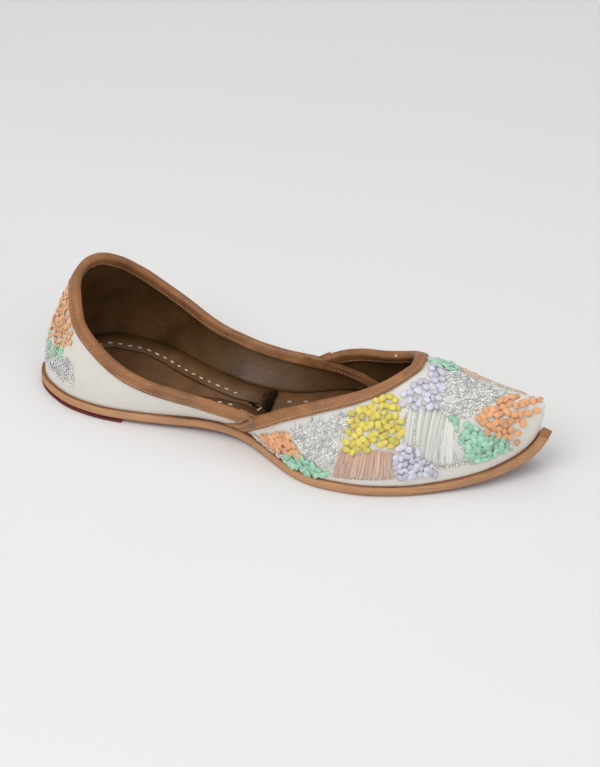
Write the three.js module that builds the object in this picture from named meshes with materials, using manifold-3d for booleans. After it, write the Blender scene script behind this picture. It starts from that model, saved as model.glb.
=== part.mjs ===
// Mojari (jutti): a flat slip-on shoe for the right foot. X runs from the heel to the toe, Y to the
// medial side of the foot, Z up. Millimetres. The origin is at the middle of the footprint, on the floor.
import * as THREE from "three";
import { mergeVertices } from "three/addons/utils/BufferGeometryUtils.js";
import Module from "manifold-3d";

// Driving dimensions
const LENGTH = 250; // heel to toe tip
const BALL_WIDTH = 78; // sole at the ball
const INSTEP_HEIGHT = 42; // top of the vamp at the ball, above the floor
const COUNTER_HEIGHT = 64; // top of the back, above the floor
const SOLE_THICKNESS = 4.4;
const LIFT_THICKNESS = 1.2;
const LIFT_LENGTH = 52;
const FLANGE = 2; // how far the sole shows outside the upper
const WALL = 2; // satin, stiffener and lining together
const INSOLE_THICKNESS = 1.6;
const GAP = 0.3; // between pieces that meet
const BINDING_LEATHER = 1;
const QUARTER_FOLD = 4.2; // how far the quarters' binding folds down the wall's faces
const VAMP_FOLD = 4.4; // and the vamp's
const QUARTER_END = 0.65; // share of the length where the quarters' binding ends inside the vamp
const RIDGE_BACK = 42; // where the ridge of the last starts over the heel
const RIDGE_FRONT = 245; // and where it ends behind the toe tip
const HEEL_SEAT = LIFT_THICKNESS + GAP; // underside of the sole above the floor at the heel

// How finely the curved surfaces are divided
const STATIONS = 50; // along each side
const RISERS = 12; // from the feather line to the ridge
const BINDING_STEPS = 96; // along each binding
const JOIN_STEPS = 2; // how far past a notch a binding is made before it is cut
const CUTTER_STEPS = 8; // and how far the cutter reaches each way
const NUDGE = 0.004; // step for reading slopes, in radians round the outline and in shares of the climb
const WELD = 1e-4; // points closer than this are one
const HALVINGS = 24; // when the topline's place on the last is looked for
const WALKS = 4; // steps to a place beside an edge

// The plug that opens the collar, and the cutters that end a binding where it meets the other one
const PLUG_DEPTH = 6;
const PLUG_REACH = 8;
const PLUG_MIDDLE = new THREE.Vector3(110, -8, 30);
const PLUG_TOP = new THREE.Vector3(110, -8, 260);
const CUT_DEPTH = 18;
const CUT_REACH = 10;

// Sole outline: edges each side of the heel's centre line, as shares of the ball width, and the height
// of the underside above the floor.
const SOLE = [
  { at: 0, lateral: 0, medial: 0, rise: HEEL_SEAT },
  { at: 0.012, lateral: -0.155, medial: 0.175, rise: HEEL_SEAT },
  { at: 0.05, lateral: -0.28, medial: 0.315, rise: HEEL_SEAT },
  { at: 0.11, lateral: -0.375, medial: 0.41, rise: HEEL_SEAT },
  { at: 0.176, lateral: -0.405, medial: 0.41, rise: HEEL_SEAT },
  { at: 0.25, lateral: -0.39, medial: 0.34, rise: 1.7 },
  { at: 0.31, lateral: -0.37, medial: 0.24, rise: 2.4 },
  { at: 0.37, lateral: -0.35, medial: 0.155, rise: 3 },
  { at: 0.416, lateral: -0.35, medial: 0.115, rise: 2.8 },
  { at: 0.46, lateral: -0.385, medial: 0.13, rise: 1.5 },
  { at: 0.52, lateral: -0.5, medial: 0.2, rise: 0 },
  { at: 0.57, lateral: -0.595, medial: 0.295, rise: 0 },
  { at: 0.62, lateral: -0.635, medial: 0.345, rise: 0 },
  { at: 0.68, lateral: -0.63, medial: 0.365, rise: 0 },
  { at: 0.76, lateral: -0.565, medial: 0.345, rise: 0 },
  { at: 0.84, lateral: -0.445, medial: 0.26, rise: 1.2 },
  { at: 0.9, lateral: -0.33, medial: 0.175, rise: 3.4 },
  { at: 0.95, lateral: -0.2, medial: 0.1, rise: 7.2 },
  { at: 0.975, lateral: -0.13, medial: 0.06, rise: 11 },
  { at: 0.985, lateral: -0.1, medial: 0.035, rise: 13.6 },
  { at: 0.994, lateral: -0.075, medial: 0.015, rise: 17.6 },
  { at: 1, lateral: -0.03, medial: -0.03, rise: 21.5 },
];

// The last above the sole: how far each side's control stands outside the feather line and the ridge's
// place, as shares of the ball width, the ridge's height as a share of the instep height, how early the
// side stands up and how square the shoulder is.
const LAST = [
  { at: 0, lateralFlare: 0, medialFlare: 0, ridge: 0, crown: 2, stand: 0.3, shoulder: 0.3 },
  { at: 0.05, lateralFlare: 0.02, medialFlare: 0.06, ridge: 0, crown: 2, stand: 0.32, shoulder: 0.36 },
  { at: 0.12, lateralFlare: 0.06, medialFlare: 0.14, ridge: 0, crown: 2, stand: 0.33, shoulder: 0.45 },
  { at: 0.25, lateralFlare: 0.14, medialFlare: 0.21, ridge: -0.06, crown: 1.9, stand: 0.35, shoulder: 0.6 },
  { at: 0.4, lateralFlare: 0.28, medialFlare: 0.38, ridge: -0.12, crown: 1.7, stand: 0.35, shoulder: 0.6 },
  { at: 0.48, lateralFlare: 0.16, medialFlare: 0.3, ridge: -0.14, crown: 1.5, stand: 0.38, shoulder: 0.6 },
  { at: 0.56, lateralFlare: 0.03, medialFlare: 0.14, ridge: -0.13, crown: 1.3, stand: 0.42, shoulder: 0.6 },
  { at: 0.66, lateralFlare: 0.02, medialFlare: 0.05, ridge: -0.11, crown: 1.14, stand: 0.45, shoulder: 0.6 },
  { at: 0.76, lateralFlare: 0.02, medialFlare: 0.04, ridge: -0.09, crown: 1.08, stand: 0.5, shoulder: 0.6 },
  { at: 0.88, lateralFlare: 0.02, medialFlare: 0.02, ridge: -0.07, crown: 0.97, stand: 0.5, shoulder: 0.65 },
  { at: 0.96, lateralFlare: 0.02, medialFlare: 0.02, ridge: -0.045, crown: 0.92, stand: 0.5, shoulder: 0.7 },
  { at: 1, lateralFlare: 0.03, medialFlare: 0.03, ridge: -0.03, crown: 0.88, stand: 0.5, shoulder: 0.9 },
];

// Topline of the quarters each side, as shares of the counter height.
const QUARTER_TOPLINE = [
  { at: 0, lateral: 0.965, medial: 0.965 },
  { at: 0.006, lateral: 0.93, medial: 1 },
  { at: 0.022, lateral: 0.88, medial: 1 },
  { at: 0.047, lateral: 0.806, medial: 0.972 },
  { at: 0.075, lateral: 0.714, medial: 0.9 },
  { at: 0.115, lateral: 0.642, medial: 0.794 },
  { at: 0.15, lateral: 0.584, medial: 0.714 },
  { at: 0.19, lateral: 0.513, medial: 0.612 },
  { at: 0.235, lateral: 0.437, medial: 0.543 },
  { at: 0.28, lateral: 0.397, medial: 0.479 },
  { at: 0.345, lateral: 0.373, medial: 0.402 },
  { at: 0.41, lateral: 0.337, medial: 0.372 },
  { at: 0.46, lateral: 0.282, medial: 0.348 },
  { at: 0.525, lateral: 0.235, medial: 0.322 },
  { at: 0.6, lateral: 0.16, medial: 0.23 },
  { at: 0.66, lateral: 0.1, medial: 0.12 },
];

// Throat edge of the vamp from the lateral ear over the ridge to the medial ear. The climb counts 0 at
// the lateral feather line, 1 at the ridge and 2 at the medial feather line.
const THROAT = [
  { at: 0.415, climb: 0.01 },
  { at: 0.441, climb: 0.085 },
  { at: 0.467, climb: 0.181 },
  { at: 0.499, climb: 0.292 },
  { at: 0.534, climb: 0.387 },
  { at: 0.569, climb: 0.483 },
  { at: 0.601, climb: 0.57 },
  { at: 0.634, climb: 0.65 },
  { at: 0.663, climb: 0.733 },
  { at: 0.684, climb: 0.815 },
  { at: 0.7, climb: 0.915 },
  { at: 0.711, climb: 1.04 },
  { at: 0.716, climb: 1.17 },
  { at: 0.712, climb: 1.31 },
  { at: 0.695, climb: 1.44 },
  { at: 0.66, climb: 1.54 },
  { at: 0.618, climb: 1.6 },
  { at: 0.575, climb: 1.675 },
  { at: 0.537, climb: 1.75 },
  { at: 0.49, climb: 1.88 },
];

const manifoldLibrary = await Module();
manifoldLibrary.setup();

// A smooth curve through one column of a table that never overshoots its rows.
function column(table, name, reach = (at) => at) {
  const xs = table.map((row) => reach(row.at));
  const ys = table.map((row) => row[name]);
  const slopes = xs.slice(1).map((x, i) => (ys[i + 1] - ys[i]) / (x - xs[i]));
  const tangents = xs.map((_, i) => {
    if (i === 0) return slopes[0];
    if (i === xs.length - 1) return slopes[i - 1];
    const [before, after] = [slopes[i - 1], slopes[i]];
    return before * after <= 0 ? 0 : (2 * before * after) / (before + after);
  });
  return (at) => {
    const x = THREE.MathUtils.clamp(reach(at), xs[0], xs[xs.length - 1]);
    const i = Math.max(0, xs.findIndex((limit) => x <= limit) - 1);
    const span = xs[i + 1] - xs[i];
    const t = (x - xs[i]) / span;
    const rest = 1 - t;
    return (
      ys[i] * (1 + 2 * t) * rest * rest +
      tangents[i] * span * t * rest * rest +
      ys[i + 1] * t * t * (3 - 2 * t) +
      tangents[i + 1] * span * t * t * (t - 1)
    );
  };
}

// The outline is read against an angle that turns half a circle from heel to toe, so its ends are round.
const turnOf = (share) => Math.acos(1 - 2 * THREE.MathUtils.clamp(share, 0, 1));
const shareOf = (turn) => (1 - Math.cos(turn)) / 2;
const soleEdge = {
  lateral: column(SOLE, "lateral", turnOf),
  medial: column(SOLE, "medial", turnOf),
};
const rise = column(SOLE, "rise");
const last = {};
for (const name of ["lateralFlare", "medialFlare", "ridge", "crown", "stand", "shoulder"]) {
  last[name] = column(LAST, name);
}
const sideOf = (turn) => (Math.sin(turn) >= 0 ? "lateral" : "medial");

// The sole's edge at a turn: 0 at the back of the heel, half a circle at the toe, lateral side first.
function edgeAt(turn) {
  const share = shareOf(turn);
  return new THREE.Vector2(LENGTH * share, BALL_WIDTH * soleEdge[sideOf(turn)](share));
}

// Direction out of the shoe, square to the sole's edge.
function outwardAt(turn) {
  const along = edgeAt(turn + NUDGE).sub(edgeAt(turn - NUDGE)).normalize();
  return new THREE.Vector2(along.y, -along.x);
}

// A point of the bent sole, at a height square to its underside.
function onSole(point, height) {
  const share = THREE.MathUtils.clamp(point.x / LENGTH, 0, 1);
  const before = Math.max(0, share - NUDGE / 2);
  const after = Math.min(1, share + NUDGE / 2);
  const slope = Math.atan2(rise(after) - rise(before), LENGTH * (after - before));
  const bent = new THREE.Vector3(point.x, point.y, rise(share));
  return bent.add(new THREE.Vector3(-Math.sin(slope), 0, Math.cos(slope)).multiplyScalar(height));
}

// Grid of rings, each a list of points in the same order, joined into triangles.
class Skin {
  constructor() {
    this.points = [];
    this.faces = [];
  }
  ring(points) {
    const first = this.points.length;
    this.points.push(...points);
    return points.map((_, i) => first + i);
  }
  quad(a, b, c, d) {
    this.faces.push([a, b, c], [a, c, d]);
  }
  // The band between two rings that run anticlockwise seen from the second ring's side.
  band(lower, upper) {
    for (let i = 0; i < lower.length; i++) {
      const next = (i + 1) % lower.length;
      this.quad(lower[i], lower[next], upper[next], upper[i]);
    }
  }
  // Closes a ring to a point.
  fan(ring, point, outward) {
    const [tip] = this.ring([point]);
    ring.forEach((from, i) => {
      const to = ring[(i + 1) % ring.length];
      this.faces.push(outward ? [from, to, tip] : [to, from, tip]);
    });
  }
  // Closes a ring of an even count by joining the points that face each other across it.
  cap(ring, facingUp) {
    const count = ring.length;
    for (let i = 0; i < count / 2; i++) {
      const across = [ring[i], ring[i + 1], ring[count - i - 1], ring[(count - i) % count]];
      if (!facingUp) across.reverse();
      this.quad(...across);
    }
  }
  geometry() {
    const made = new THREE.BufferGeometry().setFromPoints(this.points);
    made.setIndex(this.faces.filter(([a, b, c]) => a !== b && b !== c && a !== c).flat());
    return mergeVertices(made, WELD);
  }
}

function solidOf(geometry) {
  const merged = mergeVertices(geometry, WELD);
  const mesh = new manifoldLibrary.Mesh({
    numProp: 3,
    vertProperties: new Float32Array(merged.attributes.position.array),
    triVerts: new Uint32Array(merged.index.array),
  });
  return new manifoldLibrary.Manifold(mesh);
}

function geometryOf(solid) {
  const mesh = solid.getMesh();
  const made = new THREE.BufferGeometry();
  made.setAttribute("position", new THREE.BufferAttribute(mesh.vertProperties, 3));
  made.setIndex(new THREE.BufferAttribute(mesh.triVerts, 1));
  return made;
}

const stationTurns = Array.from({ length: 2 * STATIONS }, (_, i) => (Math.PI * i) / STATIONS);

// The sole's edge drawn in by an inset, without the stations that a sharp end pushes past each other.
function insetEdge(inset) {
  const edge = stationTurns.map((turn) => edgeAt(turn));
  const drawnIn = stationTurns.map((turn, i) => edge[i].clone().addScaledVector(outwardAt(turn), -inset));
  const clear = drawnIn.map((point) => edge.every((other) => point.distanceTo(other) > inset - NUDGE));
  return drawnIn.filter((_, i) => clear[i] && clear[(edge.length - i) % edge.length]);
}

// A layer bent along the sole, inset from its edge, from one height above the underside to another.
function layer(inset, from, to) {
  const skin = new Skin();
  const edge = insetEdge(inset);
  const lower = skin.ring(edge.map((point) => onSole(point, from)));
  const upper = skin.ring(edge.map((point) => onSole(point, to)));
  skin.cap(lower, false);
  skin.band(lower, upper);
  skin.cap(upper, true);
  return skin.geometry();
}

// A solid box from one corner to the other.
function block(low, high) {
  const size = high.map((value, i) => value - low[i]);
  const box = new THREE.BoxGeometry(...size).deleteAttribute("normal").deleteAttribute("uv");
  box.translate(...low.map((value, i) => value + size[i] / 2));
  return solidOf(box);
}

// The way the side flares at a turn: square to a plain ellipse, so that it fans out evenly at the waist.
function flareDirection(turn) {
  return new THREE.Vector3(-Math.cos(turn) * BALL_WIDTH, -Math.sin(turn) * LENGTH, 0).normalize();
}

// The curve of the last that climbs from the feather line at a turn to the ridge.
function climbingCurve(turn) {
  const share = shareOf(turn);
  const out = outwardAt(turn);
  const flare = BALL_WIDTH * last[sideOf(turn) + "Flare"](share);
  const foot = onSole(edgeAt(turn).addScaledVector(out, -FLANGE), SOLE_THICKNESS + GAP);
  const ridgeX = RIDGE_BACK + (RIDGE_FRONT - RIDGE_BACK) * share;
  const top = new THREE.Vector3(ridgeX, BALL_WIDTH * last.ridge(share), INSTEP_HEIGHT * last.crown(share));
  const side = foot.clone().addScaledVector(flareDirection(turn), flare);
  const stand = side.clone().setZ(foot.z + (top.z - foot.z) * last.stand(share));
  const shoulder = top.clone().lerp(side, last.shoulder(share)).setZ(top.z);
  return new THREE.CubicBezierCurve3(foot, stand, shoulder, top);
}

// A point of the last's surface. A climb past the ridge comes down the other side.
function onLast(turn, climb) {
  if (climb > 1) return climbingCurve(-turn).getPoint(2 - climb);
  return climbingCurve(turn).getPoint(Math.max(0, climb));
}

// The last's slopes at a point: round the shoe, up the side, and the normal out of it.
function slopesAt(turn, climb) {
  const low = Math.max(0, climb - NUDGE);
  const round = onLast(turn + NUDGE, climb).sub(onLast(turn - NUDGE, climb));
  round.divideScalar(2 * NUDGE);
  const up = onLast(turn, climb + NUDGE).sub(onLast(turn, low));
  up.divideScalar(climb + NUDGE - low);
  return { round, up, normal: round.clone().cross(up).normalize() };
}

// Closed shell between two offsets of the last's surface, inwards positive.
function shell(outerInset, innerInset) {
  const surface = new Skin();
  const curves = stationTurns.map((turn) => climbingCurve(turn));
  const rings = [];
  for (let k = 0; k <= RISERS; k++) {
    rings.push(surface.ring(curves.map((curve) => curve.getPoint(k / RISERS))));
  }
  for (let k = 0; k < RISERS; k++) surface.band(rings[k], rings[k + 1]);
  const skin = surface.geometry();
  skin.computeVertexNormals();
  const { position, normal } = skin.attributes;
  const moved = (inset) => {
    const points = [];
    for (let i = 0; i < position.count; i++) {
      const along = new THREE.Vector3().fromBufferAttribute(normal, i);
      points.push(new THREE.Vector3().fromBufferAttribute(position, i).addScaledVector(along, -inset));
    }
    return points;
  };
  const joined = new Skin();
  joined.ring(moved(outerInset));
  joined.ring(moved(innerInset));
  const count = position.count;
  const edges = new Set();
  for (let i = 0; i < skin.index.count; i += 3) {
    const [a, b, c] = skin.index.array.slice(i, i + 3);
    joined.faces.push([a, b, c], [count + a, count + c, count + b]);
    edges.add(a + " " + b).add(b + " " + c).add(c + " " + a);
  }
  for (const edge of edges) {
    const [from, to] = edge.split(" ").map(Number);
    if (!edges.has(to + " " + from)) joined.quad(to, from, count + from, count + to);
  }
  return solidOf(joined.geometry());
}

// How far up the last the quarters' topline crosses the curve at a turn.
const quarterHeight = {
  lateral: column(QUARTER_TOPLINE, "lateral", turnOf),
  medial: column(QUARTER_TOPLINE, "medial", turnOf),
};
function quarterClimb(turn) {
  const height = COUNTER_HEIGHT * quarterHeight[sideOf(turn)](shareOf(turn));
  let [low, high] = [0, 1];
  for (let i = 0; i < HALVINGS; i++) {
    const middle = (low + high) / 2;
    const above = onLast(turn, middle).z > height;
    [low, high] = above ? [low, middle] : [middle, high];
  }
  return low;
}

// The throat edge as places on the last, from the lateral ear to the medial one.
const throatCurve = new THREE.CatmullRomCurve3(
  THROAT.map((row) => new THREE.Vector3(turnOf(row.at), row.climb, 0)),
);
const throatLine = Array.from({ length: BINDING_STEPS + 1 }, (_, i) => {
  const { x, y } = throatCurve.getPoint(i / BINDING_STEPS);
  return { turn: x, climb: y };
});
const acrossRidge = (place) => (place.climb > 1 ? { turn: -place.turn, climb: 2 - place.climb } : place);
const overQuarters = (place) => {
  const near = acrossRidge(place);
  return near.climb > quarterClimb(near.turn);
};

// The quarters' edge from its medial end round the heel to its lateral end.
const quarterFront = turnOf(QUARTER_END);
const quarterLine = Array.from({ length: BINDING_STEPS + 1 }, (_, i) => {
  const turn = -quarterFront + (2 * quarterFront * i) / BINDING_STEPS;
  return { turn, climb: quarterClimb(turn) };
});

// How far up the last the throat edge stands at a share of the length, 0 behind the vamp's ear.
function throatClimb(share, side) {
  const edge = throatLine.filter(({ climb }) => (climb <= 1) === (side === "lateral")).map(acrossRidge);
  for (let i = 1; i < edge.length; i++) {
    const [from, to] = [shareOf(edge[i - 1].turn), shareOf(edge[i].turn)];
    const t = (share - from) / (to - from);
    if (t >= 0 && t <= 1) return THREE.MathUtils.lerp(edge[i - 1].climb, edge[i].climb, t);
  }
  return 0;
}
const behindVamp = ({ turn, climb }) => climb > throatClimb(shareOf(turn), sideOf(turn));

// The collar's whole edge: round the quarters, then back over the throat.
const collar = [...quarterLine.filter(behindVamp), ...throatLine.filter(overQuarters)];

// The plug that opens the collar, square to the last's surface along the collar's edge.
function plug() {
  const skin = new Skin();
  const at = (distance) =>
    collar.map(({ turn, climb }) => {
      const { normal } = slopesAt(turn, climb);
      return onLast(turn, climb).addScaledVector(normal, distance);
    });
  const inner = skin.ring(at(-PLUG_DEPTH));
  const outer = skin.ring(at(PLUG_REACH));
  skin.fan(inner, PLUG_MIDDLE, false);
  skin.band(inner, outer);
  skin.fan(outer, PLUG_TOP, true);
  return solidOf(skin.geometry());
}

// The place on the last a distance away from an edge place, square to the edge and into the leather.
function walk(place, direction, distance) {
  const target = onLast(place.turn, place.climb).addScaledVector(direction, distance);
  let { turn, climb } = place;
  for (let i = 0; i < WALKS; i++) {
    const { round, up } = slopesAt(turn, climb);
    const miss = target.clone().sub(onLast(turn, climb));
    const [a, b, c] = [round.dot(round), round.dot(up), up.dot(up)];
    const [p, q] = [miss.dot(round), miss.dot(up)];
    const area = a * c - b * b;
    turn += (c * p - b * q) / area;
    climb = Math.max(0, climb + (a * q - b * p) / area);
  }
  return { turn, climb };
}

// Sweeps a section along part of an edge line. A section point's depth is into the leather, negative past
// the edge, and its height is out of the last's surface.
function sweep(line, first, final, section) {
  const skin = new Skin();
  const rings = [];
  for (let i = first; i <= final; i++) {
    const place = line[i];
    const [before, after] = [line[Math.max(0, i - 1)], line[Math.min(line.length - 1, i + 1)]];
    const along = onLast(after.turn, after.climb).sub(onLast(before.turn, before.climb)).normalize();
    const inward = along.cross(slopesAt(place.turn, place.climb).normal).normalize();
    const points = section.map(([depth, height]) => {
      const foot = depth > 0 ? walk(place, inward, depth) : place;
      const base = onLast(foot.turn, foot.climb).addScaledVector(inward, Math.min(0, depth));
      return base.addScaledVector(slopesAt(foot.turn, foot.climb).normal, height);
    });
    rings.push(skin.ring(points));
  }
  for (let i = 1; i < rings.length; i++) skin.band(rings[i], rings[i - 1]);
  const flat = section.map(([depth, height]) => new THREE.Vector2(depth, height));
  for (const [a, b, c] of THREE.ShapeUtils.triangulateShape(flat, [])) {
    const [start, end] = [rings[0], rings[rings.length - 1]];
    skin.faces.push([start[a], start[b], start[c]], [end[c], end[b], end[a]]);
  }
  return solidOf(skin.geometry());
}

// Sections of the bindings as [depth, height], anticlockwise.
const FOLD_FACE = GAP + BINDING_LEATHER;
const ROLL = 0.7 * FOLD_FACE;
const ROLL_SHOULDER = 0.75 * (WALL / 2 + FOLD_FACE);
const ROLL_CROWN = 0.25 * (WALL / 2 + FOLD_FACE);
const rectangle = (shallow, deep, low, high) => [
  [shallow, low],
  [deep, low],
  [deep, high],
  [shallow, high],
];
const foldedSection = (fold) => [
  [fold, GAP],
  [fold, FOLD_FACE],
  [0, FOLD_FACE],
  [-ROLL, -WALL / 2 + ROLL_SHOULDER],
  [-FOLD_FACE, -WALL / 2 + ROLL_CROWN],
  [-FOLD_FACE, -WALL / 2 - ROLL_CROWN],
  [-ROLL, -WALL / 2 - ROLL_SHOULDER],
  [0, -WALL - FOLD_FACE],
  [fold, -WALL - FOLD_FACE],
  [fold, -WALL - GAP],
  [-GAP, -WALL - GAP],
  [-GAP, GAP],
];

function piece(name, geometry, colour, roughness) {
  const material = new THREE.MeshStandardMaterial({ color: colour, roughness, metalness: 0 });
  const mesh = new THREE.Mesh(geometry, material);
  mesh.name = name;
  return mesh;
}

const outsole = layer(0, 0, SOLE_THICKNESS);
const heelBlock = block([-LENGTH, -LENGTH, 0], [LIFT_LENGTH, LENGTH, LIFT_THICKNESS]);
const heelLift = geometryOf(solidOf(layer(0, -HEEL_SEAT, SOLE_THICKNESS)).intersect(heelBlock));
const insoleBase = SOLE_THICKNESS + GAP;
const insole = layer(FLANGE + WALL + 2 * GAP, insoleBase, insoleBase + INSOLE_THICKNESS);
const upper = geometryOf(shell(0, WALL).subtract(plug()));

// The bindings follow their whole edges: folded where the edge is open, and past the notches the
// quarters' runs on inside the vamp and the vamp's runs on down the outside of the quarters.
const ends = (line, open) => [line.findIndex(open), line.findLastIndex(open)];
const [quarterStart, quarterStop] = ends(quarterLine, behindVamp);
const [throatStart, throatStop] = ends(throatLine, overQuarters);
const within = (step) => THREE.MathUtils.clamp(step, 0, BINDING_STEPS);
function around(line, step, section) {
  return sweep(line, within(step - CUTTER_STEPS), within(step + CUTTER_STEPS), section);
}
const pastVamp = rectangle(-FOLD_FACE - GAP, CUT_DEPTH, -WALL - GAP / 2, CUT_REACH);
const pastQuarter = rectangle(-FOLD_FACE - GAP, CUT_DEPTH, -CUT_REACH, GAP / 2);
const insideLeaf = rectangle(-FOLD_FACE, QUARTER_FOLD, -WALL - FOLD_FACE, -WALL - GAP);
const outsideLeaf = rectangle(-FOLD_FACE, VAMP_FOLD, GAP, FOLD_FACE);
const wallAndGap = shell(-GAP / 2, WALL + GAP / 2).subtract(plug());
const soleAndGap = solidOf(layer(-FLANGE, 0, insoleBase));
const insoleAndGap = solidOf(layer(FLANGE, insoleBase, insoleBase + INSOLE_THICKNESS + GAP));
const largest = (solid) => solid.decompose().sort((a, b) => b.volume() - a.volume())[0];
const quarterSolid = sweep(
  quarterLine,
  quarterStart - JOIN_STEPS,
  quarterStop + JOIN_STEPS,
  foldedSection(QUARTER_FOLD),
)
  .subtract(around(throatLine, throatStart, pastVamp))
  .subtract(around(throatLine, throatStop, pastVamp))
  .add(sweep(quarterLine, 0, quarterStart + 1, insideLeaf))
  .add(sweep(quarterLine, quarterStop - 1, BINDING_STEPS, insideLeaf))
  .subtract(wallAndGap)
  .subtract(insoleAndGap);
const vampSolid = sweep(
  throatLine,
  throatStart - JOIN_STEPS,
  throatStop + JOIN_STEPS,
  foldedSection(VAMP_FOLD),
)
  .subtract(around(quarterLine, quarterStart, pastQuarter))
  .subtract(around(quarterLine, quarterStop, pastQuarter))
  .add(sweep(throatLine, 0, throatStart + 1, outsideLeaf))
  .add(sweep(throatLine, throatStop - 1, BINDING_STEPS, outsideLeaf))
  .subtract(wallAndGap)
  .subtract(soleAndGap);
const quarterBinding = geometryOf(largest(quarterSolid));
const vampBinding = geometryOf(largest(vampSolid));

const shoe = new THREE.Group();
shoe.add(
  piece("outsole", outsole, 0xc48a58, 0.6),
  piece("heel_lift", heelLift, 0x7a1f22, 0.7),
  piece("insole", insole, 0x6a4524, 0.6),
  piece("upper", upper, 0xe4e2da, 0.5),
  piece("quarter_binding", quarterBinding, 0x9a6238, 0.5),
  piece("vamp_binding", vampBinding, 0x9a6238, 0.5),
);
const bounds = new THREE.Box3().setFromObject(shoe);
const middle = bounds.getCenter(new THREE.Vector3());
shoe.position.set(-middle.x, -middle.y, -bounds.min.z);

export default shoe;
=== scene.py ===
"""Looks of a mojari: a flat embroidered slip-on shoe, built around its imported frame."""
import math
import random

import bmesh
import bpy
from mathutils import Matrix, Vector
from mathutils.bvhtree import BVHTree


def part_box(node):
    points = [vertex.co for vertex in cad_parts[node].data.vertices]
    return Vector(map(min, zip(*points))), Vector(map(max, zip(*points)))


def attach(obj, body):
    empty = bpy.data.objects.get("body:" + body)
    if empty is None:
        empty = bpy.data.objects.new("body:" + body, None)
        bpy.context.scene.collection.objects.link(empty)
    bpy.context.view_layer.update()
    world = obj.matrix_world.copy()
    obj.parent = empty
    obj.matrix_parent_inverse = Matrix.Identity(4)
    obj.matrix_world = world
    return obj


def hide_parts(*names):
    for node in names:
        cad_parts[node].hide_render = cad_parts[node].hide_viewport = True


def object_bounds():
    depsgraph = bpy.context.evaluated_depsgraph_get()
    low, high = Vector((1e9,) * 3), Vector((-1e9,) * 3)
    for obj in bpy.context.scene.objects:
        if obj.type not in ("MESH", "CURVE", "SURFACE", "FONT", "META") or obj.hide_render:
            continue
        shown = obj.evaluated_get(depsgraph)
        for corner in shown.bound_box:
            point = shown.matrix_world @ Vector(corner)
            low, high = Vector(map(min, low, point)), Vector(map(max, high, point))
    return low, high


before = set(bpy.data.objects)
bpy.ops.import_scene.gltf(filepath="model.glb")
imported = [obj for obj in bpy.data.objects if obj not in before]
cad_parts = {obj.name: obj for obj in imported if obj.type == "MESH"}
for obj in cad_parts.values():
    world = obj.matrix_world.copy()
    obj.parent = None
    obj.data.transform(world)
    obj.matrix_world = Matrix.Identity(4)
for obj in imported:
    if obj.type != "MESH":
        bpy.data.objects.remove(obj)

bl_info = {
    "name": "Mojari",
    "version": (1, 0, 0),
    "blender": (4, 5, 0),
    "location": "3D View > Sidebar > Mojari",
    "description": "Builds the leather, satin and embroidery of a mojari shoe",
    "category": "Add Mesh",
}

MM = 0.001
CAD_BOX = [list(corner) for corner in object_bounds()]
SHOE_LOW, SHOE_HIGH = (Vector(corner) for corner in CAD_BOX)
MIDDLE_X = (SHOE_LOW.x + SHOE_HIGH.x) / 2

# The vamp is laid out by millimetres along the shoe from its middle and by degrees round it, from 0 on the
# lateral side over 90 on top to 180 on the medial side, seen from an axis inside the toe box.
VAMP_AXIS_Y = -1 * MM
VAMP_AXIS_Z = 8 * MM
# The back is laid out by degrees from its middle, lateral side positive, and by millimetres above the floor.
HEEL_AXIS_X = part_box("heel_lift")[0][0] + 35 * MM
HEEL_AXIS_Y = 7 * MM
REACH = 90 * MM

# Vertices nearer than this are one, and triangles join across bends and skews up to these.
WELD = 0.002 * MM
JOIN_BEND = math.radians(34)
JOIN_SKEW = math.radians(60)

# A line through the hollow of the shoe. The wall's faces that look at it are lining.
HEART_REAR = -88 * MM
HEART_FRONT = 95 * MM
HEART_Y = 2 * MM
HEART_Z = 16 * MM

# A face turned further up or down than these is a top, an underside or a wall.
LEVEL = 0.5
TOP = 0.6

# Leather corners sharper than this are held nearly crisp when the leather is smoothed.
CORNER = math.radians(40)
FOLD_CORNER = math.radians(65)
WALL_CORNER = math.radians(50)
HELD_SOLE = 0.72
HELD_SOCK = 0.85
HELD_WALL = 0.8
HELD_FOLD = 0.6
SMOOTHING = 2

# How evenly small pieces are strewn: rows sit closer than columns, each piece strays a little, and none is
# laid nearer than a share of the spacing to the pieces laid just before.
ROW_STEP = 0.87
STRAY = 0.22
NEAREST = 0.62
LAID_BEFORE = 60
PER_DEGREE = 2.1

# Places read along a line of seed beads and along a strand, and how many rings lie along the rear edge.
LINE_SHARES = 60
STRAND_PLACES = 10
EAR_RING_COUNT = 26

# Lights: place and width in metres, and power in watts.
LIGHTS = {
    "key": ((-0.35, -0.75, 1.15), 1.1, 8.5),
    "fill": ((0.9, -0.5, 0.8), 1.2, 3),
    "top": ((0.0, 0.5, 1.3), 1.4, 3.5),
}
SKY = 0.36
FLOOR_REACH = 3

# The camera looks at the shoe's middle from its lateral side, a little ahead and from above.
CAMERA_AZIMUTH = math.radians(18.5)
CAMERA_ELEVATION = math.radians(36.5)
CAMERA_DISTANCE = 0.9
CAMERA_LENS = 115
CAMERA_SHIFT = (0.0263, 0.0675)

# The stitched margin of the insole ends here, a hair above the leather, and its row of stitches gives way
# to the front row, which runs on to the ball of the foot.
MARGIN_FRONT = -8 * MM
MARGIN_LIFT = 0.05 * MM
ROW_BREAK = -14 * MM
ROW_END = 60 * MM
STITCH_LIFT = 0.1 * MM
FINE_INSET = 1.25 * MM
RIM_STATION = 6 * MM
SEEK = 50 * MM
DOWN = Vector((0, 0, -1))

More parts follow.
